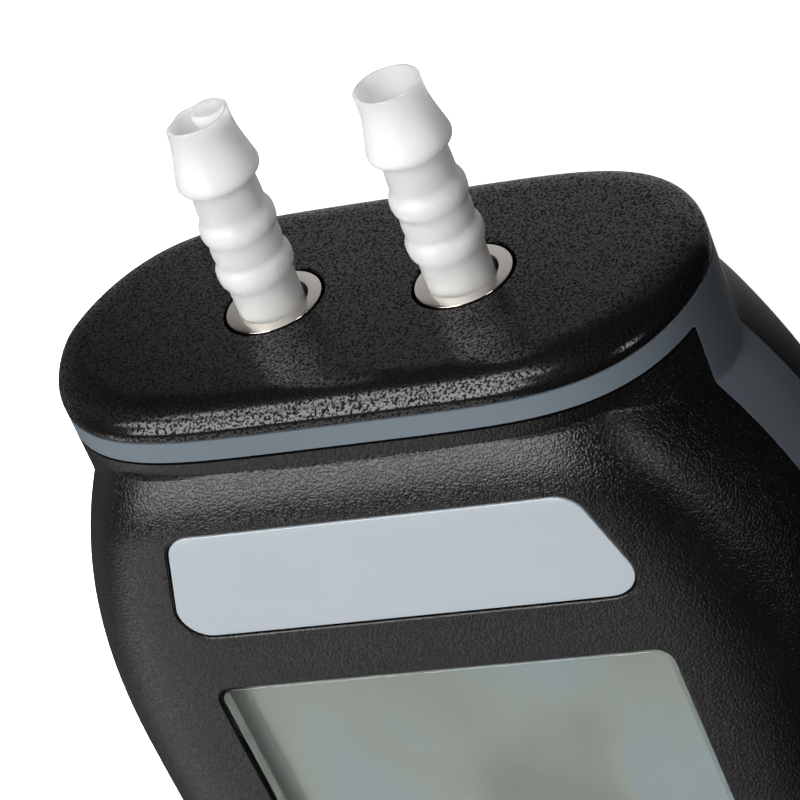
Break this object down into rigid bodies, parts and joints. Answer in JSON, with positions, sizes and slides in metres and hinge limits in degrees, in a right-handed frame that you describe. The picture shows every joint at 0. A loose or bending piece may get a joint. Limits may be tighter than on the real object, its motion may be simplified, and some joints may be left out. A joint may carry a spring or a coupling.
{
  "type": "differential pressure meter",
  "caption": "Handheld differential pressure meter with a tapered case, display window, name plate, press keys, battery bay and barbed hose ports in its end cap.",
  "frame": {"origin": "centre of the case's flat back, on the surface that it lies on", "axes": "+Z out of the display, +Y towards the hose ports, +X to the right of someone reading the display"},
  "size_m": [0.0838, 0.1741, 0.0374],
  "materials": {
    "black_abs": "black, fine spark grain",
    "grey_elastomer": "satin blue-grey",
    "satin_plate": "satin light blue-grey, bare",
    "clear_window": "polished clear plastic",
    "lcd_glass": "grey-green, blank",
    "nickel": "bright nickel plate",
    "milky_plastic": "milky, translucent",
    "board_green": "solder mask",
    "white_plastic": "moulded",
    "silicone": "matt",
    "bright_steel": "zinc plated",
    "cell_jacket": "plain jacket"
  },
  "bodies": {
    "meter": {"end_cap": "black_abs", "side_band": "grey_elastomer", "front_case": "black_abs", "rear_case": "black_abs", "label_plate": "satin_plate", "window_lens": "clear_window", "lcd_glass": "lcd_glass", "lcd_holder": "white_plastic", "lcd_connector_upper": "silicone", "lcd_connector_lower": "silicone", "circuit_board": "board_green", "pressure_sensor": "white_plastic", "port_bush_left": "nickel", "port_bush_right": "nickel", "bush_seal_left": "silicone", "bush_seal_right": "silicone", "hose_barb_left": "milky_plastic", "hose_barb_right": "milky_plastic", "inner_hose_left": "silicone", "inner_hose_right": "silicone", "switch_housing_1": "black_abs", "switch_housing_2": "black_abs", "switch_housing_3": "black_abs", "battery_cover": "black_abs", "battery_cover_screw": "bright_steel", "battery_cell_1": "cell_jacket", "battery_cell_2": "cell_jacket", "battery_cell_3": "cell_jacket", "contact_top_1": "bright_steel", "contact_top_2": "bright_steel", "contact_top_3": "bright_steel", "contact_bottom_1": "bright_steel", "contact_bottom_2": "bright_steel", "contact_bottom_3": "bright_steel", "battery_spring_1": "bright_steel", "battery_spring_2": "bright_steel", "battery_spring_3": "bright_steel", "case_screw_top_left": "bright_steel", "case_screw_top_right": "bright_steel", "case_screw_bottom_left": "bright_steel", "case_screw_bottom_right": "bright_steel"},
    "key_1": {"key_cap_1": "grey_elastomer", "switch_stem_1": "white_plastic"},
    "key_2": {"key_cap_2": "grey_elastomer", "switch_stem_2": "white_plastic"},
    "key_3": {"key_cap_3": "grey_elastomer", "switch_stem_3": "white_plastic"}
  },
  "joints": [
    {"name": "key_1_press", "type": "slide", "parent": "meter", "child": "key_1", "axis": [0, 0, -1], "range_m": [0, 0.0005], "stiffness_N_per_m": 600},
    {"name": "key_2_press", "type": "slide", "parent": "meter", "child": "key_2", "axis": [0, 0, -1], "range_m": [0, 0.0005], "stiffness_N_per_m": 600},
    {"name": "key_3_press", "type": "slide", "parent": "meter", "child": "key_3", "axis": [0, 0, -1], "range_m": [0, 0.0005], "stiffness_N_per_m": 600}
  ]
}
